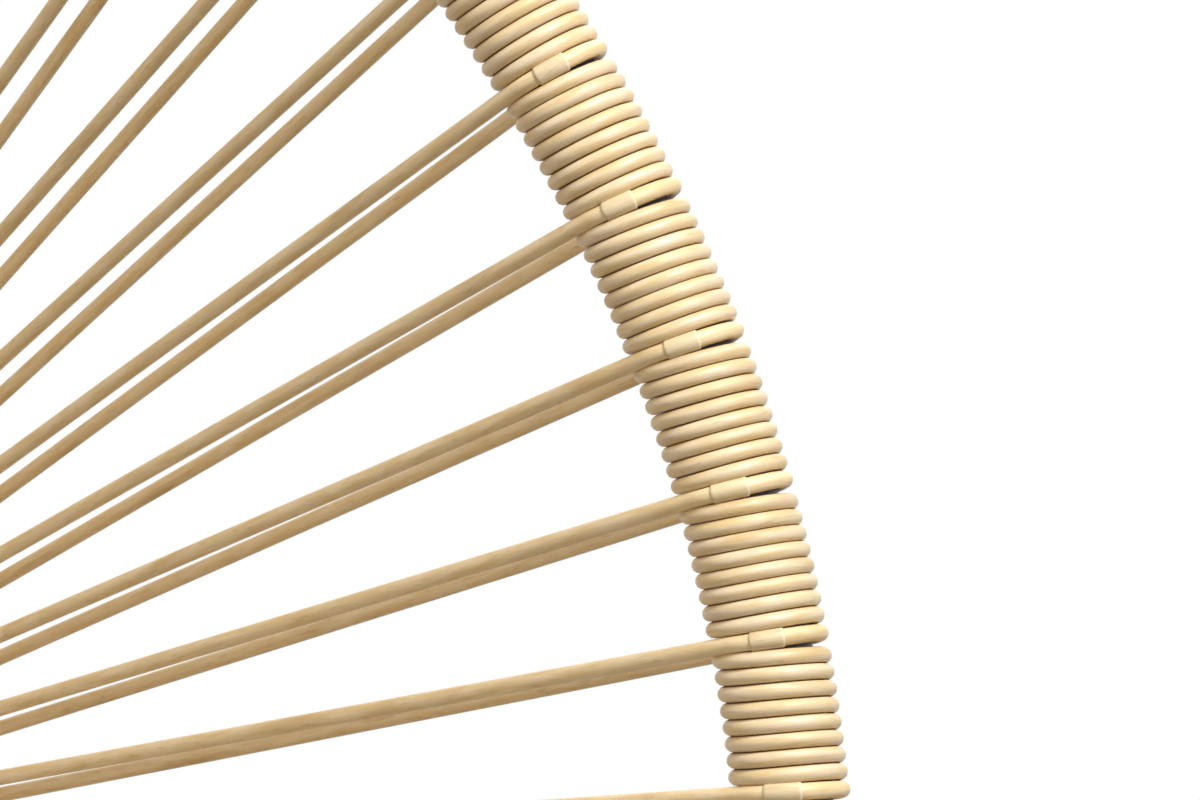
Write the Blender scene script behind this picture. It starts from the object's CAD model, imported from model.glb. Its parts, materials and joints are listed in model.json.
# The looks of a hanging egg chair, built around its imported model. Metres, +Z up.
import bpy
import json
import random
import numpy as np
from math import atan2, cos, pi, radians, sin
from mathutils import Matrix, Vector

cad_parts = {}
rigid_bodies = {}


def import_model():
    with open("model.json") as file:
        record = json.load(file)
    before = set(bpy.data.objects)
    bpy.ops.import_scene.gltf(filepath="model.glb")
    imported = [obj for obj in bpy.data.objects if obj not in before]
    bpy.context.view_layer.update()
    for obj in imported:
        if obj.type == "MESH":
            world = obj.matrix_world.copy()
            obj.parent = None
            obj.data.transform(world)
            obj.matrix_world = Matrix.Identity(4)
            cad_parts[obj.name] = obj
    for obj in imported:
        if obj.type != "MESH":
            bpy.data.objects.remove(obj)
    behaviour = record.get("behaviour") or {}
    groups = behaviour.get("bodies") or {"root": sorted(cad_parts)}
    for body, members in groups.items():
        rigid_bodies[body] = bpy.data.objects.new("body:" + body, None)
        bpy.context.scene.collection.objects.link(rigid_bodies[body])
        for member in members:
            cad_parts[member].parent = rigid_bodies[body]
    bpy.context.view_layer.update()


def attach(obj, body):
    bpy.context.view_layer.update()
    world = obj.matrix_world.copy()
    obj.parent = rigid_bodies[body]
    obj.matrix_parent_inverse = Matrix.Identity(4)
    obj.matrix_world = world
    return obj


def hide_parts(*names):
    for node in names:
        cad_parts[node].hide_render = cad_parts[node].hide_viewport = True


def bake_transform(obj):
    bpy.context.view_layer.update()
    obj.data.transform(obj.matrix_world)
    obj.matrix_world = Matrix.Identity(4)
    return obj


for thing in list(bpy.data.objects):
    bpy.data.objects.remove(thing)
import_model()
random.seed(11)
print("frame loaded")

egg = {  # the rim's outline, as in the model: four arcs a side
    "lowRadius": 0.490,
    "flankRadius": 0.850,
    "lowEnd": radians(32),
    "flankEnd": radians(62),
    "stations": 72,  # lacing loops
    "perRun": 6,  # loops in one length of cane
    "lean": radians(12),
    "tube": 0.0125,
}
eggMiddle = np.array((0.0, -0.177334, 0.981845))  # of its widest level
alongRight = np.array((1.0, 0.0, 0.0))
alongUp = np.array((0.0, sin(egg["lean"]), cos(egg["lean"])))
alongBack = np.array((0.0, cos(egg["lean"]), -sin(egg["lean"])))
flankMiddle = np.array((cos(egg["lowEnd"]), sin(egg["lowEnd"])))
flankMiddle = (egg["lowRadius"] - egg["flankRadius"]) * flankMiddle
crownRadius = flankMiddle[0] / cos(egg["flankEnd"]) + egg["flankRadius"]
crownMiddle = flankMiddle[1] + (egg["flankRadius"] - crownRadius) * sin(egg["flankEnd"])
crownArc = crownRadius * (pi / 2 - egg["flankEnd"])
flankArc = egg["flankRadius"] * (egg["flankEnd"] - egg["lowEnd"])
halfRound = crownArc + flankArc + egg["lowRadius"] * (egg["lowEnd"] + pi / 2)
stationPitch = 2 * halfRound / egg["stations"]
hub = {"radius": 0.130, "rod": 0.0068, "depth": 0.380, "rise": 0.010}
hangY = -0.050  # of all that hangs from the arch


def inChair(u, v, depth=0.0):
    return eggMiddle + alongRight * u + alongUp * v + alongBack * depth


def eggCurve(lengths):  # places on the rim, the outward side and the bend's radius there
    around = np.mod(lengths, 2 * halfRound)
    mirror = np.where(around > halfRound, -1.0, 1.0)
    near = np.where(around > halfRound, 2 * halfRound - around, around)
    crown = near <= crownArc
    flank = (near <= crownArc + flankArc) & ~crown
    low = egg["lowEnd"] - (near - crownArc - flankArc) / egg["lowRadius"]
    angle = np.where(flank, egg["flankEnd"] - (near - crownArc) / egg["flankRadius"], low)
    angle = np.where(crown, pi / 2 - near / crownRadius, angle)
    radius = np.where(crown, crownRadius, np.where(flank, egg["flankRadius"], egg["lowRadius"]))
    middleU = np.where(flank, flankMiddle[0], 0.0)
    middleV = np.where(crown, crownMiddle, np.where(flank, flankMiddle[1], 0.0))
    outU, outV = mirror * np.cos(angle), np.sin(angle)
    place = eggMiddle + np.outer(mirror * (middleU + radius * np.cos(angle)), alongRight)
    place = place + np.outer(middleV + radius * outV, alongUp)
    return place, np.outer(outU, alongRight) + np.outer(outV, alongUp), radius


def rimAt(station):
    return eggCurve(np.array([(station + 0.5) * stationPitch]))[0][0]


def hubAt(station):
    angle = pi / 2 - 2 * pi * (station + 0.5) / egg["stations"]
    return inChair(hub["radius"] * cos(angle), hub["rise"] + hub["radius"] * sin(angle),
                   hub["depth"])


def unit(vector):
    return vector / np.linalg.norm(vector)


def laceFrame(here, there, before, after):  # tangent, inward and front of a loop at here
    tangent = unit(after - before)
    inward = there - here
    inward = unit(inward - tangent * inward.dot(tangent))
    front = np.cross(inward, tangent)
    return tangent, inward, front if front.dot(alongBack) < 0 else -front


def newGroup(name, sockets):  # shared effects give only colours, masks and heights
    group = bpy.data.node_groups.new(name, "ShaderNodeTree")
    for label, way, kind, value in sockets:
        socket = group.interface.new_socket(label, in_out=way, socket_type="NodeSocket" + kind)
        if value is not None:
            socket.default_value = value
    return group, group.nodes.new("NodeGroupInput"), group.nodes.new("NodeGroupOutput")


def addNoise(tree, vector, stretch, detail):
    mapping = tree.nodes.new("ShaderNodeMapping")
    mapping.inputs["Scale"].default_value = stretch
    noise = tree.nodes.new("ShaderNodeTexNoise")
    noise.inputs["Scale"].default_value = 1.0
    noise.inputs["Detail"].default_value = detail
    noise.inputs["Roughness"].default_value = 0.55
    tree.links.new(vector, mapping.inputs["Vector"])
    tree.links.new(mapping.outputs["Vector"], noise.inputs["Vector"])
    return noise.outputs["Fac"]


def addRange(tree, value, low, high, toLow=0.0, toHigh=1.0):
    node = tree.nodes.new("ShaderNodeMapRange")
    node.interpolation_type = "SMOOTHSTEP"
    for label, amount in (("From Min", low), ("From Max", high), ("To Min", toLow),
                          ("To Max", toHigh)):
        node.inputs[label].default_value = amount
    tree.links.new(value, node.inputs["Value"])
    return node.outputs["Result"]


def addMix(tree, share, first, second):
    node = tree.nodes.new("ShaderNodeMix")
    node.data_type = "RGBA"
    for number, value in ((0, share), (6, first), (7, second)):  # factor and the two colours
        socket = node.inputs[number]
        if isinstance(value, bpy.types.NodeSocket):
            tree.links.new(value, socket)
        else:
            socket.default_value = value
    return node.outputs[2]


def addMath(tree, operation, first, second):
    node = tree.nodes.new("ShaderNodeMath")
    node.operation = operation
    for socket, value in zip(node.inputs, (first, second)):
        if isinstance(value, bpy.types.NodeSocket):
            tree.links.new(value, socket)
        else:
            socket.default_value = value
    return node.outputs[0]


def makeCaneGroup():  # lengthwise streaks, mottling and blushes, on the cane's own length
    group, given, result = newGroup("caneSkin", [
        ("Light", "INPUT", "Color", (0.84, 0.68, 0.465, 1)),
        ("Mid", "INPUT", "Color", (0.76, 0.56, 0.27, 1)),
        ("Shade", "INPUT", "Color", (0.48, 0.30, 0.12, 1)),
        ("Blush", "INPUT", "Color", (0.68, 0.52, 0.38, 1)),
        ("Joint", "INPUT", "Float", 0.0),  # how dark it is where turns touch
        ("Color", "OUTPUT", "Color", None),
        ("Height", "OUTPUT", "Float", None),
        ("Gloss", "OUTPUT", "Float", None),
    ])
    run = group.nodes.new("ShaderNodeUVMap")
    run.uv_map = "caneRun"
    along = run.outputs["UV"]
    streak = addNoise(group, along, (55, 6, 1), 2.0)
    fibre = addNoise(group, along, (150, 15, 1), 1.5)
    mottle = addNoise(group, along, (21, 1.6, 1), 3.0)
    blotch = addNoise(group, along, (34, 2.4, 7), 2.0)
    tones = given.outputs
    colour = addMix(group, addRange(group, streak, 0.32, 0.66), tones["Mid"], tones["Light"])
    colour = addMix(group, addRange(group, mottle, 0.52, 0.76, 0.0, 0.50), colour, tones["Shade"])
    colour = addMix(group, addRange(group, blotch, 0.56, 0.74, 0.0, 0.45), colour, tones["Blush"])
    colour = addMix(group, addRange(group, fibre, 0.56, 0.80, 0.0, 0.38), colour, tones["Shade"])
    parts = group.nodes.new("ShaderNodeSeparateXYZ")
    group.links.new(along, parts.inputs[0])
    aside = addMath(group, "SUBTRACT", parts.outputs["Y"], 0.5)  # 0 on the cane's outer side
    aside = addMath(group, "ABSOLUTE", aside, 0.0)
    touch = addMath(group, "MULTIPLY", addRange(group, aside, 0.15, 0.25), tones["Joint"])
    colour = addMix(group, touch, colour, (0.23, 0.105, 0.02, 1))
    group.links.new(colour, result.inputs["Color"])
    height = addMath(group, "ADD", addMath(group, "MULTIPLY", fibre, 0.5), streak)
    group.links.new(height, result.inputs["Height"])
    group.links.new(mottle, result.inputs["Gloss"])
    return group


def makeGrainGroup():  # grain and slow drift in the object's space, for paint, metal and rubber
    group, given, result = newGroup("surfaceGrain", [
        ("Colour", "INPUT", "Color", (0.03, 0.03, 0.03, 1)),
        ("Worn", "INPUT", "Color", (0.08, 0.08, 0.08, 1)),
        ("Amount", "INPUT", "Float", 0.3),
        ("Fine Scale", "INPUT", "Float", 900.0),
        ("Coarse Scale", "INPUT", "Float", 14.0),
        ("Color", "OUTPUT", "Color", None),
        ("Height", "OUTPUT", "Float", None),
        ("Drift", "OUTPUT", "Float", None),
    ])
    place = group.nodes.new("ShaderNodeTexCoord").outputs["Object"]
    fine = group.nodes.new("ShaderNodeTexNoise")
    coarse = group.nodes.new("ShaderNodeTexNoise")
    for noise, label in ((fine, "Fine Scale"), (coarse, "Coarse Scale")):
        noise.inputs["Detail"].default_value = 3.0
        group.links.new(place, noise.inputs["Vector"])
        group.links.new(given.outputs[label], noise.inputs["Scale"])
    drift = addRange(group, coarse.outputs["Fac"], 0.35, 0.70)
    share = addMath(group, "MULTIPLY", drift, given.outputs["Amount"])
    colour = addMix(group, share, given.outputs["Colour"], given.outputs["Worn"])
    group.links.new(colour, result.inputs["Color"])
    group.links.new(fine.outputs["Fac"], result.inputs["Height"])
    group.links.new(drift, result.inputs["Drift"])
    return group


caneGroup = makeCaneGroup()
grainGroup = makeGrainGroup()


def newMaterial(name, look, group, groupLook, roughFrom, rough, bumpLook):
    surface = bpy.data.materials.new(name)
    surface.use_nodes = True
    tree = surface.node_tree
    shader = tree.nodes["Principled BSDF"]
    for label, value in look.items():
        shader.inputs[label].default_value = value
    effect = tree.nodes.new("ShaderNodeGroup")
    effect.node_tree = group
    for label, value in groupLook.items():
        effect.inputs[label].default_value = value
    bump = tree.nodes.new("ShaderNodeBump")
    bump.inputs["Distance"].default_value, bump.inputs["Strength"].default_value = bumpLook
    tree.links.new(effect.outputs["Height"], bump.inputs["Height"])
    tree.links.new(bump.outputs["Normal"], shader.inputs["Normal"])
    tree.links.new(effect.outputs["Color"], shader.inputs["Base Color"])
    roughness = addRange(tree, effect.outputs[roughFrom], 0.2, 0.8, *rough)
    tree.links.new(roughness, shader.inputs["Roughness"])
    return surface


def coated(name, colour, worn, rough):
    values = {"Colour": colour, "Worn": worn, "Amount": 0.5, "Fine Scale": 1100.0,
              "Coarse Scale": 9.0}
    return newMaterial(name, {}, grainGroup, values, "Drift", rough, (0.0002, 0.35))


caneWound = newMaterial(
    "woundCane", {"Specular IOR Level": 0.55, "Coat Weight": 0.35, "Coat Roughness": 0.40},
    caneGroup, {"Joint": 0.75}, "Gloss", (0.40, 0.56), (0.0003, 0.35))
caneLaced = newMaterial(
    "lacedCane", {"Specular IOR Level": 0.50, "Coat Weight": 0.20, "Coat Roughness": 0.32},
    caneGroup, {"Light": (0.92, 0.73, 0.46, 1), "Mid": (0.84, 0.62, 0.31, 1),
                "Shade": (0.52, 0.32, 0.10, 1), "Blush": (0.76, 0.54, 0.32, 1)},
    "Gloss", (0.44, 0.60), (0.0003, 0.35))
caneCollar = newMaterial(
    "collarCane", {"Specular IOR Level": 0.40},
    caneGroup, {"Light": (0.80, 0.66, 0.42, 1), "Mid": (0.72, 0.56, 0.32, 1)},
    "Gloss", (0.50, 0.64), (0.0002, 0.35))
caneCut = newMaterial(
    "cutCane", {"Specular IOR Level": 0.30},
    caneGroup, {"Light": (0.88, 0.78, 0.56, 1), "Mid": (0.84, 0.71, 0.47, 1)},
    "Gloss", (0.65, 0.80), (0.0002, 0.5))
blackCoat = coated("blackCoat", (0.022, 0.021, 0.022, 1), (0.045, 0.043, 0.042, 1), (0.38, 0.52))
charcoalCoat = coated("charcoalCoat", (0.030, 0.030, 0.032, 1), (0.050, 0.049, 0.049, 1),
                      (0.36, 0.48))
springCoat = coated("springCoat", (0.028, 0.028, 0.030, 1), (0.060, 0.057, 0.055, 1), (0.28, 0.42))
zincPlate = newMaterial(
    "zincPlate", {"Metallic": 1.0},
    grainGroup, {"Colour": (0.62, 0.63, 0.65, 1), "Worn": (0.50, 0.51, 0.53, 1), "Amount": 0.8,
                 "Fine Scale": 1500.0, "Coarse Scale": 160.0},
    "Drift", (0.24, 0.44), (0.0001, 0.25))
blackRubber = newMaterial(
    "blackRubber", {"Specular IOR Level": 0.35},
    grainGroup, {"Colour": (0.018, 0.018, 0.018, 1), "Worn": (0.040, 0.038, 0.036, 1),
                 "Amount": 0.6, "Fine Scale": 2200.0, "Coarse Scale": 30.0},
    "Drift", (0.70, 0.88), (0.0003, 0.6))
print("materials made")


def takeUp(thing):  # the only selected object
    bpy.ops.object.select_all(action="DESELECT")
    thing.select_set(True)
    bpy.context.view_layer.objects.active = thing


def startEdit(thing, choose="SELECT"):
    takeUp(thing)
    bpy.ops.object.mode_set(mode="EDIT")
    bpy.ops.mesh.select_all(action=choose)


def endEdit():
    bpy.ops.object.mode_set(mode="OBJECT")


def placeInMesh(thing):
    takeUp(thing)
    bpy.ops.object.transform_apply(location=True, rotation=True, scale=True)


def faceAlong(direction):
    return Vector(direction).to_track_quat("Z", "Y").to_euler()


def closeUp(thing):
    startEdit(thing)
    bpy.ops.mesh.remove_doubles(threshold=1e-6)
    bpy.ops.mesh.fill_holes(sides=0)
    bpy.ops.mesh.normals_make_consistent(inside=False)
    endEdit()


def applyBevel(thing, width, segments, degrees=35):
    takeUp(thing)
    bevel = thing.modifiers.new("edges", "BEVEL")
    bevel.width, bevel.segments, bevel.angle_limit = width, segments, radians(degrees)
    bpy.ops.object.modifier_apply(modifier=bevel.name)


def applyBoolean(thing, cutter, operation="DIFFERENCE"):
    takeUp(thing)
    cut = thing.modifiers.new("cut", "BOOLEAN")
    cut.operation, cut.solver, cut.object = operation, "EXACT", cutter
    bpy.ops.object.modifier_apply(modifier=cut.name)
    bpy.data.objects.remove(cutter)


def joinTo(thing, others):
    takeUp(thing)
    for other in others:
        other.select_set(True)
    bpy.ops.object.join()
    return thing


def finishPiece(thing, name, body, node, surface, smooth=35):
    thing.name = thing.data.name = name
    thing.data.materials.clear()
    thing.data.materials.append(surface)
    takeUp(thing)
    bpy.ops.object.shade_smooth_by_angle(angle=radians(smooth))
    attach(thing, body)
    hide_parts(node)


def onStand(thing, name, node):  # a coated piece of the stand
    finishPiece(thing, name, "stand", node, charcoalCoat)


def newCircle(sides, radius, place, axis):
    bpy.ops.object.select_all(action="DESELECT")
    bpy.ops.mesh.primitive_circle_add(vertices=sides, radius=radius, location=place,
                                      rotation=faceAlong(axis))
    circle = bpy.context.object
    placeInMesh(circle)
    return circle


def newBlock(middle, size, turn=(0, 0, 0)):
    bpy.ops.object.select_all(action="DESELECT")
    bpy.ops.mesh.primitive_cube_add(size=1, location=middle, rotation=turn)
    block = bpy.context.object
    block.scale = size
    placeInMesh(block)
    return block


def newDisc(middle, sides, radius, thick):  # across X
    bpy.ops.object.select_all(action="DESELECT")
    bpy.ops.mesh.primitive_cylinder_add(vertices=sides, radius=radius, depth=thick,
                                        location=middle, rotation=(0, pi / 2, 0))
    disc = bpy.context.object
    placeInMesh(disc)
    return disc


def layTube(start, along, radius, moves, sides):  # a ring drawn out straight and spun round bends
    tube = newCircle(sides, radius, start, along)
    startEdit(tube)
    for move in moves:
        if len(move) == 1:
            bpy.ops.mesh.extrude_region_move(TRANSFORM_OT_translate={"value": Vector(move[0])})
        else:
            centre, axis, angle, steps = move  # a right-hand turn, spin's are left-hand
            bpy.ops.mesh.spin(steps=steps, angle=-angle, center=centre, axis=axis)
    endEdit()
    closeUp(tube)
    return tube


def turnUp(base, axis, profile, sides=48, bored=False):  # turned, its rings one above another
    axis = Vector(axis).normalized()
    base = Vector(base)
    radius, height = profile[0]
    piece = newCircle(sides, radius, base + axis * height, axis)
    startEdit(piece)
    for nextRadius, nextHeight in profile[1:]:
        rise = axis * (nextHeight - height)
        bpy.ops.mesh.extrude_region_move(TRANSFORM_OT_translate={"value": rise})
        scale = nextRadius / radius
        bpy.ops.transform.resize(value=(scale, scale, scale),
                                 center_override=base + axis * nextHeight)
        radius, height = nextRadius, nextHeight
    if bored:  # the last ring meets the first one
        bpy.ops.mesh.select_all(action="SELECT")
        bpy.ops.mesh.region_to_loop()
        bpy.ops.mesh.bridge_edge_loops()
    endEdit()
    closeUp(piece)
    return piece


def sweep(name, places, outward, radii, sides, lengths, wide=None):  # a cane or bead, by rings
    count = len(places)
    tangent = np.gradient(places, axis=0)
    tangent /= np.linalg.norm(tangent, axis=1)[:, None]
    normal = outward - tangent * np.sum(outward * tangent, axis=1)[:, None]
    normal /= np.linalg.norm(normal, axis=1)[:, None]
    side = np.cross(tangent, normal)
    wide = radii if wide is None else wide
    angle = pi + 2 * pi * np.arange(sides) / sides  # its seam lies against the tube
    rings = places[:, None, :] + normal[:, None, :] * (radii[:, None] * np.cos(angle))[:, :, None]
    rings = rings + side[:, None, :] * (wide[:, None] * np.sin(angle))[:, :, None]
    mesh = bpy.data.meshes.new(name)
    row, column = np.meshgrid(np.arange(count - 1), np.arange(sides), indexing="ij")
    after = (column + 1) % sides
    quads = np.stack([row * sides + column, row * sides + after,
                      (row + 1) * sides + after, (row + 1) * sides + column], axis=2).reshape(-1, 4)
    ends = [list(range(sides))[::-1], [(count - 1) * sides + step for step in range(sides)]]
    mesh.from_pydata(rings.reshape(-1, 3).tolist(), [], quads.tolist() + ends)
    first, second = lengths[row], lengths[row + 1]
    low, high = column / sides, (column + 1) / sides
    spread = np.stack([first, low, first, high, second, high, second, low], axis=2).reshape(-1)
    caps = [value for end in (0, count - 1) for step in range(sides)
            for value in (lengths[end], step / sides)]
    layer = mesh.uv_layers.new(name="caneRun")
    layer.data.foreach_set("uv", np.concatenate([spread, caps]).astype(np.float32))
    mesh.shade_smooth()
    thing = bpy.data.objects.new(name, mesh)
    bpy.context.scene.collection.objects.link(thing)
    return thing


def runLengths(places, start=0.0):  # how far along the cane each place is
    steps = np.linalg.norm(np.diff(places, axis=0), axis=1)
    return start + np.concatenate([[0.0], np.cumsum(steps)])


weld = {"sides": 8, "ripples": ((0.16, 2.1), (0.06, 0.7))}  # share of its radius, radians a step


def weldBead(places, outward, radius):
    steps = np.arange(len(places))
    ripple = 1 + sum(share * np.sin(steps * pace) for share, pace in weld["ripples"])
    return sweep("bead", places, outward, radius * ripple, weld["sides"], runLengths(places))


def ringBead(centre, axis, ringRadius, radius, count=120):
    axis = unit(np.array(axis, float))
    first = unit(np.cross(axis, (0.3, 0.9, 0.2)))  # any direction off the axis
    second = np.cross(axis, first)
    angle = np.linspace(0, 2 * pi, count)
    outward = np.outer(np.cos(angle), first) + np.outer(np.sin(angle), second)
    return weldBead(np.array(centre, float) + outward * ringRadius, outward, radius)


cane = {
    "thick": 0.0048,
    "fit": 0.498,  # of its thickness, its mesh's radius
    "turns": 8,  # in each bay between two loops
    "steps": 36,  # rings of the mesh in a turn
    "sides": 12,
    "stray": 0.00011,  # how far a turn strays from its place
    "strayOut": 0.6,  # of that, off the tube
    "strayThick": 90,  # change of thickness to a metre of stray
    "crossAt": 4.12,  # turns past the middle of a bay, where the cane passes under the lacing
    "crossHalf": 0.19,
    "spokeTurns": 2.0,  # left out on each side of a spoke
    "tuckRate": 14,  # how fast it thins towards an end at a spoke
    "tuckEnd": 0.55,
    "patternStep": 0.37,  # of the streaks, from length to length
}
spokeBoundaries = (0, 24, 36, 48)  # stations, with a spoke half a pitch before each
stray = [(random.uniform(0.15, 1.9), random.uniform(0, 2 * pi), random.uniform(0.4, 1.0))
         for step in range(9)]


def strays(turns, shift):
    total = sum(size * np.sin(pace * turns + phase + shift * (1 + pace))
                for pace, phase, size in stray)
    return total * cane["stray"] / 2


def makeRimTubes():
    halfGap, parting, under = 0.0003, 0.0012, 0.0002  # parting is in radians
    for side, word in ((1, "Right"), (-1, "Left")):
        start = inChair(side * halfGap, crownMiddle + crownRadius)
        centre = inChair(0, crownMiddle)
        flank = inChair(side * flankMiddle[0], flankMiddle[1])
        moves = [(centre, alongBack, side * (pi / 2 - egg["flankEnd"]), 14),
                 (flank, alongBack, side * (egg["flankEnd"] - egg["lowEnd"]), 22),
                 (inChair(0, 0), alongBack, side * (egg["lowEnd"] + pi / 2 - parting), 50)]
        tube = layTube(start, alongRight * side, egg["tube"] - under, moves, 28)
        finishPiece(tube, "rimTube" + word, "chair", "rim_tube_" + word.lower(),
                    blackCoat)


def makeWinding(run):
    first, last = run * egg["perRun"], (run + 1) * egg["perRun"]
    atSpoke = last % egg["stations"] in spokeBoundaries
    start = cane["turns"] * first + (cane["spokeTurns"] if first in spokeBoundaries else 0)
    end = cane["turns"] * last - (cane["spokeTurns"] if atSpoke else 0)
    turns = np.linspace(start, end, int((end - start) * cane["steps"]) + 1)
    theta = 2 * pi * (turns - 0.5)  # 0 in front, a quarter turn is the outer side
    inward = -np.sin(theta)
    crossing = np.round((turns - cane["crossAt"]) / cane["turns"])
    past = turns - cane["crossAt"] - crossing * cane["turns"]
    share = np.clip((past + cane["crossHalf"]) / (2 * cane["crossHalf"]), 0, 1)
    share = share * share * (3 - 2 * share)
    radial = egg["tube"] + cane["thick"] / 2 + strays(turns, 0.0) * cane["strayOut"]
    bend = eggCurve(crossing * stationPitch)[2]
    pitch = cane["thick"] / (1 - radial / bend * inward)
    before = crossing * stationPitch + (turns - cane["turns"] * crossing) * pitch
    after = (crossing + 1) * stationPitch + (turns - cane["turns"] * (crossing + 1)) * pitch
    places, out = eggCurve(before * (1 - share) + after * share + strays(turns, 2.0))[:2]
    offset = out * -inward[:, None] - alongBack * np.cos(theta)[:, None]
    places = places + offset * radial[:, None]
    thick = cane["thick"] * cane["fit"] * (1 + strays(turns, 5.0) * cane["strayThick"])
    if start % cane["turns"] or end % cane["turns"]:
        nearEnd = np.minimum(turns - start, end - turns)
        thick = thick * np.clip(nearEnd * cane["tuckRate"] + cane["tuckEnd"], 0, 1)
    lengths = runLengths(places, run * cane["patternStep"])
    name = "caneWinding%02d" % (run + 1)
    winding = sweep(name, places, offset, thick, cane["sides"], lengths)
    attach(winding, "chair")
    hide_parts("rim_winding_%02d" % (run + 1))
    winding.data.materials.append(caneWound)


makeRimTubes()
for run in range(egg["stations"] // egg["perRun"]):
    makeWinding(run)
print("rim wound")

lace = {  # each strand runs from the hub's front, round the rim, to the hub's back
    "radius": 0.0025,
    "sides": 12,
    "ahead": 0.33,  # of a station, from a strand's middle to its front end at the hub
    "behind": 0.22,  # and to its back end
    "loopSteps": 24,
    "hubSteps": 9,
    "legSteps": 10,
    "ease": radians(40),  # of the loop, over which it turns into the leg
    "lift": 0.0005,
    "bow": 0.0006,
    "slant": 0.6,  # of the winding's own slant
    "rise": 0.00015,  # towards the crown, in its slot
    "patternStep": 0.53,
}
collar = {  # the sleeve on each loop; its angles are round the rim
    "half": radians(18.5),
    "halfShares": (0.92, 1.06),
    "wide": 0.00292,
    "high": 0.00285,
    "steps": 14,
    "sides": 16,
    "back": radians(5),  # behind the side that faces the camera
    "backShift": (-0.10, 0.06),
    "edge": 0.004,
    "edgeShare": 0.80,  # its rounded ends
    "patternFrom": (0, 9),
}


def rimLoop(station, angles, front, back, frames):  # places round the rim, and their outward side
    inward, facing, cameraSide = frames[1:]
    slope = lace["slant"] * cane["thick"] / (2 * pi)
    reach = egg["tube"] + lace["radius"]
    ease = lace["ease"]
    nearFront = np.clip(1 - angles / ease, 0, 1) ** 2
    nearBack = np.clip(1 - (pi - angles) / ease, 0, 1) ** 2
    shift = slope * (angles - cameraSide) - lace["rise"] - front * reach * ease / 2 * nearFront
    shift = shift + back * reach * ease / 2 * nearBack
    middle = eggCurve((station + 0.5) * stationPitch + shift)[0]
    outward = np.outer(np.cos(angles), facing) - np.outer(np.sin(angles), inward)
    lift = reach + lace["lift"] * (nearFront + nearBack)
    return middle + outward * lift[:, None], outward


def loopFrames(station):
    near = 0.05
    tangent, inward, facing = laceFrame(rimAt(station), hubAt(station), rimAt(station - near),
                                        rimAt(station + near))
    cameraSide = atan2(alongBack.dot(inward), -alongBack.dot(facing))
    return tangent, inward, facing, cameraSide


def hubLoop(station, angles):  # from the hub's back round its inner side to the next strand's front
    places, outs, near = [], [], 0.1
    for angle in angles:
        spot = station + lace["behind"] + (1 - lace["ahead"] - lace["behind"]) * angle / pi
        here = hubAt(spot)
        inward, facing = laceFrame(here, 2 * here - rimAt(spot), hubAt(spot - near),
                                   hubAt(spot + near))[1:]
        outward = inward * sin(angle) - facing * cos(angle)
        places.append(here + outward * (hub["rod"] + lace["radius"]))
        outs.append(outward)
    return np.array(places), np.array(outs)


def leg(start, end, outward, nextOutward):
    share = np.linspace(0, 1, lace["legSteps"] + 2)[1:-1][:, None]
    bow = random.uniform(-1, 1) * lace["bow"]
    outs = outward * (1 - share) + nextOutward * share
    return start * (1 - share) + end * share + outs * np.sin(share * pi) * bow, outs


def makeCollar(station, front, back, frames):
    middle = frames[3] - collar["back"] + random.uniform(*collar["backShift"])
    half = collar["half"] * random.uniform(*collar["halfShares"])
    spread = np.linspace(middle - half, middle + half, collar["steps"])
    spread = np.concatenate([[spread[0]], spread, [spread[-1]]])
    spread[1] += collar["edge"]
    spread[-2] -= collar["edge"]
    places, outward = rimLoop(station, spread, front, back, frames)
    shrink = np.ones(len(spread))
    shrink[[0, -1]] = collar["edgeShare"]
    sleeve = sweep("sleeve", places, outward, shrink * collar["high"], collar["sides"],
                   runLengths(places, random.uniform(*collar["patternFrom"])),
                   shrink * collar["wide"])
    sleeve.data.materials.append(caneCollar)
    sleeve.data.materials.append(caneCut)
    faces = sleeve.data.polygons
    for face in faces:  # the cut end: the last two rows of sides and the last cap
        atEnd = face.index >= (len(spread) - 3) * collar["sides"] and face.index != len(faces) - 2
        face.material_index = int(atEnd)
    return sleeve


def makeLacing(run):
    parts, outs, collars = [], [], []
    halfTurn = np.linspace(0, pi, lace["hubSteps"])
    angles = np.linspace(0, pi, lace["loopSteps"])
    first, last, half = run * egg["perRun"], (run + 1) * egg["perRun"] - 1, lace["hubSteps"] // 2
    for station in range(first, last + 1):
        fromHub, fromOut = hubLoop(station - 1, halfTurn)
        toHub, toOut = hubLoop(station, halfTurn)
        if station == first:
            parts.append(fromHub[half:])
            outs.append(fromOut[half:])
        if station == last:
            toHub, toOut = toHub[:half + 1], toOut[:half + 1]
        frames = loopFrames(station)
        tangent, inward = frames[:2]
        loop, loopOut = rimLoop(station, angles, 0, 0, frames)
        arrive, leave = loop[0] - fromHub[-1], toHub[0] - loop[-1]
        front = arrive.dot(tangent) / -arrive.dot(inward)
        back = leave.dot(tangent) / leave.dot(inward)
        loop, loopOut = rimLoop(station, angles, front, back, frames)
        for places, outward in (leg(fromHub[-1], loop[0], fromOut[-1], loopOut[0]), (loop, loopOut),
                                leg(loop[-1], toHub[0], loopOut[-1], toOut[0]), (toHub, toOut)):
            parts.append(places)
            outs.append(outward)
        collars.append(makeCollar(station, front, back, frames))
    places, outward = np.concatenate(parts), np.concatenate(outs)
    strand = sweep("lacing%02d" % (run + 1), places, outward, np.full(len(places), lace["radius"]),
                   lace["sides"], runLengths(places, run * lace["patternStep"]))
    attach(strand, "chair")
    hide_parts("strands_%02d" % (run + 1))
    strand.data.materials.append(caneLaced)
    sleeves = joinTo(collars[0], collars[1:])
    sleeves.name = sleeves.data.name = "collars%02d" % (run + 1)
    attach(sleeves, "chair")


for run in range(egg["stations"] // egg["perRun"]):
    makeLacing(run)
print("lacing done")

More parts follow.
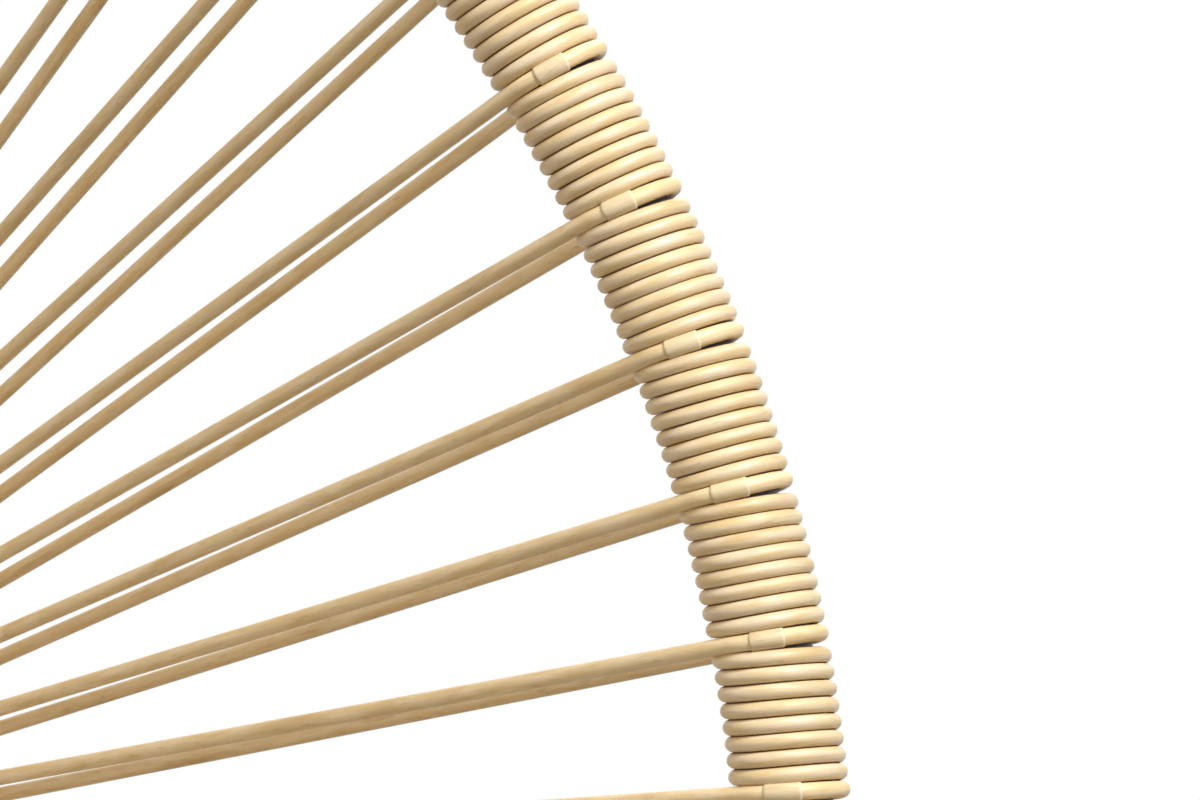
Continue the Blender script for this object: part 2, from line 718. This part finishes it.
spoke = {"radius": 0.0052, "startIn": 0.008, "endIn": 0.004, "bead": 0.0013, "beadOut": 0.0004,
         "hubBeadOut": 0.0003}


def makeHub():
    start = inChair(0, hub["rise"] + hub["radius"], hub["depth"])
    middle = inChair(0, hub["rise"], hub["depth"])
    ring = layTube(start, alongRight, hub["rod"], [(middle, alongBack, 2 * pi, 144)], 20)
    finishPiece(ring, "hubRing", "chair", "hub_ring", blackCoat)


def makeSpokes():
    for boundary, word in zip(spokeBoundaries, ("top", "right", "bottom", "left")):
        start, end = rimAt(boundary - 0.5), hubAt(boundary - 0.5)
        along = unit(end - start)
        length = np.linalg.norm(end - start) - spoke["startIn"] - spoke["endIn"]
        rod = layTube(start + along * spoke["startIn"], along, spoke["radius"],
                      [(along * length,)], 20)
        out, bead = spoke["beadOut"], spoke["bead"]
        beads = [ringBead(start + along * (egg["tube"] + out), along, spoke["radius"] + out, bead),
                 ringBead(end - along * (hub["rod"] + out), along,
                          spoke["radius"] + spoke["hubBeadOut"], bead)]
        finishPiece(joinTo(rod, beads), "spoke" + word.title(), "chair", "spoke_" + word,
                    blackCoat)


makeHub()
makeSpokes()

lug = {  # a plate with a round head and a hole, welded on along its foot
    "hole": 0.0080,
    "edge": 0.0100,
    "thick": 0.0060,
    "sink": 0.0016,
    "bevel": 0.0007,
    "bead": 0.0017,
    "beadSteps": 60,
    "footShare": 0.9999,  # of the head's width, so that their sides don't coincide
    "chairHeight": 1.580904,
    "standHeight": 1.839530,
}


def makeLug(name, node, body, height, away):
    middle, away = Vector((0, hangY, height)), Vector(away).normalized()
    reach, length = lug["hole"] + lug["edge"], lug["hole"] + lug["edge"] + lug["sink"]
    side = away.cross(Vector((1, 0, 0))).normalized()
    plate = newDisc(middle, 64, reach, lug["thick"])
    turn = Matrix((Vector((1, 0, 0)), side, away)).transposed().to_euler()
    size = (lug["thick"], 2 * reach * lug["footShare"], length)
    applyBoolean(plate, newBlock(middle + away * length / 2, size, turn), "UNION")
    applyBoolean(plate, newDisc(middle, 48, lug["hole"], 5 * lug["thick"]))
    applyBevel(plate, lug["bevel"], 3)
    beads, count = [], lug["beadSteps"]
    for way in (-1, 1):
        share = np.linspace(-1, 1, count)[:, None]
        line = np.array(middle + away * reach) + np.array(side) * share * reach
        line = line + np.array((way * lug["thick"] / 2, 0, 0))
        beads.append(weldBead(line, np.tile((way, 0.0, 0.0), (count, 1)), lug["bead"]))
    finishPiece(joinTo(plate, beads), name, body, node, charcoalCoat)


makeLug("chairLug", "chair_lug", "chair", lug["chairHeight"], -alongUp)
makeLug("standLug", "stand_lug", "stand", lug["standHeight"], (0, 0, 1))
print("hub, spokes and lugs done")

link = {"top": 1.835945, "length": 0.050, "half": 0.012, "rod": 0.0037, "bendSteps": 28,
        "nutHigh": 0.014, "nutRadius": 0.0075, "nutChamfer": 0.0012, "nutPlay": 0.0004}
eye = {"radius": 0.012, "rod": 0.0037, "beadLift": 0.0002}
spring = {"top": 1.761873, "bottom": 1.681073, "radius": 0.017, "wire": 0.0029, "turns": 11,
          "turnSteps": 40, "flatTurns": 0.8, "flatPace": 0.35, "held": 0.006}
plug = {"flange": 0.0198, "spigot": 0.0126, "flangeHigh": 0.005, "spigotHigh": 0.010,
        "top": 1.767173, "bottom": 1.675773, "eye": 1.781173, "bead": 0.0012, "beadOut": 0.0024}
swivel = {"pin": 0.0049, "head": 0.0088, "headBottom": 1.691073, "headHigh": 0.005,
          "headRound": 0.0012, "eye": 1.658773, "bore": 0.0051, "bead": 0.0011}
hook = {"top": 1.654434, "bottom": 1.584434, "half": 0.016, "rod": 0.0043, "bendSteps": 30,
        "gap": 0.0004, "gateBottom": 1.602434, "gateLength": 0.034, "gateRod": 0.0035,
        "pivot": 1.606034, "rivet": 0.0018, "rivetLong": 0.0092}


def inZinc(thing, name, body, node):
    finishPiece(thing, name, body, node, zincPlate)


def makeLink():
    half, bottom, bend = link["half"], link["top"] - link["length"], link["bendSteps"]
    upper, lower = link["top"] - half, bottom + half
    middle = (upper + lower) / 2
    ring = layTube((half, hangY, middle), (0, 0, 1), link["rod"],
                   [((0, 0, upper - middle),), ((0, hangY, upper), (0, -1, 0), pi, bend),
                    ((0, 0, lower - upper),), ((0, hangY, lower), (0, -1, 0), pi, bend),
                    ((0, 0, middle - lower),)], 24)
    inZinc(ring, "quickLink", "link", "quick_link")
    radius, high, chamfer = link["nutRadius"], link["nutHigh"], link["nutChamfer"]
    bore, face = link["rod"] + link["nutPlay"], radius * 0.86
    nut = turnUp((half, hangY, middle - high / 2), (0, 0, 1),
                 [(bore, 0), (face, 0), (radius, chamfer), (radius, high - chamfer), (face, high),
                  (bore, high)], 6, bored=True)
    applyBevel(nut, 0.0004, 2)
    inZinc(nut, "quickLinkNut", "link", "quick_link_nut")


def eyeRing(middle):
    return layTube((0, hangY, middle + eye["radius"]), (0, 1, 0), eye["rod"],
                   [((0, hangY, middle), (1, 0, 0), 2 * pi, 56)], 20)


def makePlugs():
    flange, spigot, high, bore = plug["flange"], plug["spigot"], plug["flangeHigh"], swivel["bore"]
    deep, soft = high + plug["spigotHigh"], 0.0004
    shoulder = [(flange, high - soft), (flange - soft, high), (spigot, high)]
    top = turnUp((0, hangY, plug["top"]), (0, 0, -1),
                 [(flange - 0.002, 0), (flange - 0.0006, 0.0006), (flange, 0.002)] + shoulder
                 + [(spigot, deep - 0.001), (spigot - 0.001, deep)])
    bead = ringBead((0, hangY, plug["top"] + eye["beadLift"]), (0, 0, 1),
                    eye["rod"] + plug["beadOut"], plug["bead"], 60)
    inZinc(joinTo(top, [eyeRing(plug["eye"]), bead]), "springTopPlug", "spring_head",
           "spring_top_plug")
    low = turnUp((0, hangY, plug["bottom"]), (0, 0, 1),
                 [(bore, 0), (flange - 0.0006, 0), (flange, 0.0006)] + shoulder
                 + [(spigot, deep), (bore, deep)], bored=True)
    inZinc(low, "springBottomPlug", "spring_tail", "spring_bottom_plug")


def makeSpring():
    turns = np.linspace(0, spring["turns"], spring["turns"] * spring["turnSteps"] + 1)
    wire, slow, held = spring["wire"], spring["flatPace"], spring["held"]
    pace = np.clip(np.minimum(turns, spring["turns"] - turns) / spring["flatTurns"], 0, 1)
    pace = slow + (1 - slow) * pace * pace * (3 - 2 * pace)  # the end turns close up
    drop = np.zeros(len(turns))
    drop[1:] = np.cumsum((pace[1:] + pace[:-1]) / 2)
    drop = drop / drop[-1] * (spring["top"] - spring["bottom"] - 2 * wire)
    angle = 2 * pi * turns
    outward = np.stack([np.cos(angle), np.sin(angle), 0 * angle], axis=1)
    middle = np.stack([0 * angle, hangY + 0 * angle, spring["top"] - wire - drop], axis=1)
    places = outward * spring["radius"] + middle
    coil = sweep("coilSpring", places, outward, np.full(len(turns), wire), 14, runLengths(places))
    coil.data.materials.append(springCoat)
    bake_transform(coil)
    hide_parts("coil_spring")


def makeSwivel():
    bottom = swivel["eye"] + eye["radius"]
    low, high, soft = swivel["headBottom"] - bottom, swivel["headHigh"], swivel["headRound"]
    head, pin = swivel["head"], swivel["pin"]
    shaft = turnUp((0, hangY, bottom), (0, 0, 1),
                   [(pin, 0), (pin, low), (head, low), (head, low + high - soft),
                    (head - soft, low + high)], 40)
    bead = ringBead((0, hangY, bottom + eye["rod"] + eye["beadLift"]), (0, 0, 1), pin,
                    swivel["bead"], 60)
    inZinc(joinTo(shaft, [eyeRing(swivel["eye"]), bead]), "swivelPin", "swivel", "swivel_pin")


def makeHook():
    half, bend, gap = hook["half"], hook["bendSteps"], hook["gap"]
    gateTop = hook["gateBottom"] + hook["gateLength"] + gap
    upper, lower = hook["top"] - half, hook["bottom"] + half
    body = layTube((half, hangY, gateTop), (0, 0, 1), hook["rod"],
                   [((0, 0, upper - gateTop),), ((0, hangY, upper), (0, -1, 0), pi, bend),
                    ((0, 0, lower - upper),), ((0, hangY, lower), (0, -1, 0), pi, bend),
                    ((0, 0, hook["gateBottom"] - gap - lower),)], 24)
    applyBevel(body, 0.0008, 3, 60)
    inZinc(body, "snapHook", "swivel", "snap_hook")
    rod, length, rivet = hook["gateRod"], hook["gateLength"], hook["rivet"]
    gate = turnUp((half, hangY, hook["gateBottom"]), (0, 0, 1),
                  [(rod * 0.45, 0.0001), (rod * 0.80, rod * 0.4), (rod, rod), (rod, length - 0.001),
                   (rod - 0.0008, length - 0.0002)], 24)
    long, soft = hook["rivetLong"], 0.0004
    pin = turnUp((half, hangY - long / 2, hook["pivot"]), (0, 1, 0),
                 [(rivet - 0.0008, 0), (rivet, soft), (rivet, long - soft),
                  (rivet - 0.0008, long)], 20)
    inZinc(joinTo(gate, [pin]), "snapHookGate", "gate", "snap_hook_gate")


makeLink()
makePlugs()
makeSpring()
makeSwivel()
makeHook()
print("hanging parts done")

stand = {
    "radius": 0.530,
    "tube": 0.0189,
    "height": 0.02585,  # of the middle of the base's tubes
    "parting": 0.0004,  # radians, half the gap between the base's halves
    "crossShort": 0.004,  # of the ring's middle line
    "crossThin": 0.0001,
    "post": 0.0235,
    "postY": 0.480,
    "postBottom": 0.04905,
    "joint": 1.000,
    "jointGap": 0.0003,  # half of it
    "archTop": 1.880,
    "beyond": 0.035,  # the arch's straight end
    "plate": 0.100,
    "plateThick": 0.005,
    "plateCorner": 0.012,
    "plateBottom": 0.04371,
    "socket": 0.0272,
    "socketTop": 0.16871,
    "socketPlay": 0.0004,
    "socketBead": 0.0026,
    "postBolts": (0.955, 1.045),
    "socketBolt": 0.13271,
}


def makeBase():
    radius, height, parting = stand["radius"], stand["height"], stand["parting"]
    for side, word in ((1, "Right"), (-1, "Left")):
        start = (side * sin(parting) * radius, -cos(parting) * radius, height)
        half = layTube(start, (side, 0, 0), stand["tube"],
                       [((0, 0, height), (0, 0, 1), side * (pi - 2 * parting), 110)], 32)
        applyBevel(half, 0.0006, 2, 60)
        onStand(half, "baseRing" + word, "base_ring_" + word.lower())
    reach = radius - stand["crossShort"]
    across = layTube((0, -reach, height), (0, 1, 0), stand["tube"] - stand["crossThin"],
                     [((0, 2 * reach, 0),)], 32)
    onStand(across, "baseCrossTube", "base_cross_tube")


foot = {"wide": 0.046, "long": 0.072, "high": 0.017, "bevel": 0.0022, "play": 0.0002}


def makeFeet():
    for number, degrees in enumerate((45, 135, 225, 315), 1):
        angle = radians(degrees)
        place = (stand["radius"] * cos(angle), stand["radius"] * sin(angle), foot["high"] / 2)
        block = newBlock(place, (foot["wide"], foot["long"], foot["high"]), (0, 0, angle))
        startEdit(block)
        bpy.ops.mesh.subdivide(number_cuts=5)
        endEdit()
        bpy.ops.object.select_all(action="DESELECT")
        bpy.ops.mesh.primitive_torus_add(
            location=(0, 0, stand["height"]), major_radius=stand["radius"],
            minor_radius=stand["tube"] + foot["play"], major_segments=240, minor_segments=48)
        applyBoolean(block, bpy.context.object)
        applyBevel(block, foot["bevel"], 4, 50)
        finishPiece(block, "rubberFoot%d" % number, "stand", "foot_%d" % number,
                    blackRubber, 40)


def makePost():
    post, y, bottom = stand["post"], stand["postY"], stand["postBottom"]
    under, over = stand["joint"] - stand["jointGap"], stand["joint"] + stand["jointGap"]
    lower = layTube((0, y, bottom), (0, 0, 1), post, [((0, 0, under - bottom),)], 40)
    applyBevel(lower, 0.0007, 2, 60)
    onStand(lower, "postLower", "post_lower")
    bendZ = stand["archTop"] - (y - hangY)
    arch = layTube((0, y, over), (0, 0, 1), post,
                   [((0, 0, bendZ - over),), ((0, hangY, bendZ), (1, 0, 0), pi / 2, 56),
                    ((0, -stand["beyond"], 0),)], 40)
    applyBevel(arch, 0.0007, 2, 60)
    onStand(arch, "postUpper", "post_upper")
    cap = turnUp((0, hangY - stand["beyond"], stand["archTop"]), (0, -1, 0),
                 [(post - 0.002, -0.010), (post - 0.002, 0.0003), (post - 0.0004, 0.0003),
                  (post, 0.0010), (post - 0.0004, 0.0022), (post - 0.0030, 0.0034),
                  (post * 0.55, 0.0041), (post * 0.12, 0.0043)], 48)
    finishPiece(cap, "archEndCap", "stand", "arch_end_cap", blackRubber)


def makeSocket():
    y, thick, radius = stand["postY"], stand["plateThick"], stand["socket"]
    plate = newBlock((0, y, stand["plateBottom"] + thick / 2),
                     (stand["plate"], stand["plate"], thick))
    startEdit(plate, "DESELECT")
    bpy.ops.mesh.select_mode(type="EDGE")
    endEdit()
    for edge in plate.data.edges:  # the upright ones
        ends = [plate.data.vertices[index].co for index in edge.vertices]
        edge.select = abs(ends[0].z - ends[1].z) > 0.001
    bpy.ops.object.mode_set(mode="EDIT")
    bpy.ops.mesh.bevel(offset=stand["plateCorner"], segments=8)
    endEdit()
    applyBevel(plate, 0.0008, 2, 60)
    top = stand["plateBottom"] + thick
    high, bore = stand["socketTop"] - top, stand["post"] + stand["socketPlay"]
    tube = turnUp((0, y, top - 0.001), (0, 0, 1),
                  [(radius, 0), (radius, high), (radius - 0.0009, high + 0.001),
                   (bore, high + 0.001), (bore, high - 0.004)], 48)
    bead = ringBead((0, y, top + 0.0006), (0, 0, 1), radius + 0.0008, stand["socketBead"], 200)
    onStand(joinTo(plate, [tube, bead]), "postSocket", "post_socket")


bolt = {"head": 0.0070, "headHigh": 0.0040, "shaft": 0.0038, "washer": 0.0085, "washerHigh": 0.0012,
        "nutHigh": 0.0027, "dome": 0.0052, "domeHigh": 0.0025, "domeFrom": 0.002, "domeSteps": 7,
        "postSink": 0.0014, "socketSink": 0.0012}  # of the washers into the round tubes


def makeBolt(name, node, z, reach):
    y, head, high, washer = stand["postY"], bolt["head"], bolt["headHigh"], bolt["washerHigh"]
    piece = turnUp((reach + washer, y, z), (1, 0, 0),
                   [(head, 0), (head, high - 0.0008), (head * 0.88, high)], 6)
    applyBevel(piece, 0.0003, 2)
    nut = turnUp((-reach - washer, y, z), (-1, 0, 0),
                 [(head, 0), (head, bolt["nutHigh"] - 0.0005), (head * 0.9, bolt["nutHigh"])], 6)
    angles = [step * pi / 2 / bolt["domeSteps"] for step in range(bolt["domeSteps"])]
    dome = turnUp((-reach - washer, y, z), (-1, 0, 0),
                  [(bolt["dome"] * cos(angle), bolt["domeFrom"] + bolt["domeHigh"] * sin(angle))
                   for angle in angles], 24)
    washers = [turnUp((side * reach, y, z), (side, 0, 0),
                      [(bolt["washer"], -0.001), (bolt["washer"], washer - 0.0003),
                       (bolt["washer"] - 0.0003, washer)], 32) for side in (-1, 1)]
    shaft = turnUp((-reach, y, z), (1, 0, 0), [(bolt["shaft"], 0), (bolt["shaft"], 2 * reach)], 20)
    inZinc(joinTo(piece, [nut, dome, shaft] + washers), name, "stand", node)


spigot = {"ring": 0.0150, "ringLong": 0.10, "post": 0.0204, "postLong": 0.16, "chamfer": 0.0008}


def makeSpigot(name, node, middle, along, radius, length):  # inside a joint of two tubes
    low, high = radius - spigot["chamfer"], length - spigot["chamfer"]
    rod = turnUp(Vector(middle) - Vector(along) * length / 2, along,
                 [(low, 0), (radius, spigot["chamfer"]), (radius, high), (low, length)], 32)
    inZinc(rod, name, "stand", node)


def makeSpigots():
    for side, word in ((-1, "Front"), (1, "Rear")):
        makeSpigot("ringSpigot" + word, "ring_spigot_" + word.lower(),
                   (0, side * stand["radius"], stand["height"]), (1, 0, 0), spigot["ring"],
                   spigot["ringLong"])
    makeSpigot("postJointSpigot", "post_joint_spigot", (0, stand["postY"], stand["joint"]),
               (0, 0, 1), spigot["post"], spigot["postLong"])


makeBase()
makeFeet()
makePost()
makeSocket()
for height, word in zip(stand["postBolts"], ("Lower", "Upper")):
    reach = stand["post"] - bolt["postSink"]
    makeBolt("postBolt" + word, "post_bolt_" + word.lower(), height, reach)
makeBolt("socketBolt", "socket_bolt", stand["socketBolt"], stand["socket"] - bolt["socketSink"])
makeSpigots()
print("stand done")

studio = {
    "floorRadius": 60,
    "floorRough": 0.7,
    "floor": (0.78, 0.78, 0.77, 1),
    "bounce": (0.14, 0.12, 0.09, 1),  # its colour to the light that it throws back up
    "fadeFrom": 1.3,  # metres from the stand, where the floor starts to turn white to the camera
    "fadeTo": 3.0,
    "world": 0.45,
    "key": {"place": (1.15, -1.15, 2.65), "aim": (0.2, -0.1, 1.0), "size": 0.85, "power": 43.0,
            "tint": (1.0, 0.99, 0.98)},
    "fill": {"place": (-3.2, -2.6, 2.4), "aim": (0.0, 0.0, 1.0), "size": 3.0, "power": 34.0,
             "tint": (1.0, 0.93, 0.82)},
    "rim": {"place": (0.6, 3.2, 3.0), "aim": (0.0, 0.0, 1.1), "size": 2.4, "power": 40.0,
            "tint": (1.0, 1.0, 1.0)},
}
view = {"u": 0.4333, "v": 0.1583, "pitch": radians(-3.155), "distance": 1.896, "lens": 197.1}


def seenShare(tree):  # rays that see the backdrop: straight, in gloss and through glass
    path = tree.nodes.new("ShaderNodeLightPath")
    seen = addMath(tree, "MAXIMUM", path.outputs["Is Camera Ray"], path.outputs["Is Glossy Ray"])
    return addMath(tree, "MAXIMUM", seen, path.outputs["Is Transmission Ray"])


def makeFloor():
    bpy.ops.object.select_all(action="DESELECT")
    bpy.ops.mesh.primitive_circle_add(vertices=96, radius=studio["floorRadius"], fill_type="NGON")
    floor = bpy.context.object
    floor.name = "studioFloor"
    surface = bpy.data.materials.new("paleFloor")
    surface.use_nodes = True
    tree = surface.node_tree
    shader = tree.nodes["Principled BSDF"]
    seen = seenShare(tree)
    colour = addMix(tree, seen, studio["bounce"], studio["floor"])
    tree.links.new(colour, shader.inputs["Base Color"])
    shader.inputs["Roughness"].default_value = studio["floorRough"]
    white = tree.nodes.new("ShaderNodeEmission")
    white.inputs["Color"].default_value = (1, 1, 1, 1)
    place = tree.nodes.new("ShaderNodeTexCoord").outputs["Object"]
    away = tree.nodes.new("ShaderNodeVectorMath")
    away.operation = "LENGTH"
    tree.links.new(place, away.inputs[0])
    fade = addRange(tree, away.outputs["Value"], studio["fadeFrom"], studio["fadeTo"])
    mix = tree.nodes.new("ShaderNodeMixShader")
    tree.links.new(addMath(tree, "MULTIPLY", fade, seen), mix.inputs[0])
    tree.links.new(shader.outputs[0], mix.inputs[1])
    tree.links.new(white.outputs[0], mix.inputs[2])
    tree.links.new(mix.outputs[0], tree.nodes["Material Output"].inputs["Surface"])
    floor.data.materials.append(surface)


def makeWorld():
    world = bpy.data.worlds.new("studio")
    bpy.context.scene.world = world
    world.use_nodes = True
    tree = world.node_tree
    background = tree.nodes["Background"]
    background.inputs["Color"].default_value = (1, 1, 1, 1)
    strength = addMath(tree, "MULTIPLY", seenShare(tree), 1 - studio["world"])
    tree.links.new(addMath(tree, "ADD", strength, studio["world"]), background.inputs["Strength"])


def makeLamp(name):
    look = studio[name]
    lamp = bpy.data.lights.new(name, "AREA")
    lamp.shape, lamp.size = "DISK", look["size"]
    lamp.energy, lamp.color = look["power"], look["tint"]
    thing = bpy.data.objects.new(name, lamp)
    bpy.context.scene.collection.objects.link(thing)
    thing.location = look["place"]
    thing.rotation_euler = faceAlong(Vector(look["place"]) - Vector(look["aim"]))


def makeCamera():
    camera = bpy.data.cameras.new("photoView")
    camera.lens, camera.sensor_width = view["lens"], 36.0
    camera.clip_start, camera.clip_end = 0.05, 200.0
    thing = bpy.data.objects.new("photoView", camera)
    bpy.context.scene.collection.objects.link(thing)
    aim = inChair(view["u"], view["v"])
    towards = alongUp * sin(view["pitch"]) - alongBack * cos(view["pitch"])
    upward = np.cross(towards, alongRight)
    turn = Matrix((alongRight, upward, towards)).transposed()
    place = Matrix.Translation(Vector(aim + towards * view["distance"]))
    thing.matrix_world = place @ turn.to_4x4()
    bpy.context.scene.camera = thing


makeFloor()
makeWorld()
for name in ("key", "fill", "rim"):
    makeLamp(name)
makeCamera()
bpy.context.scene.view_settings.view_transform = "Standard"
print("studio done")
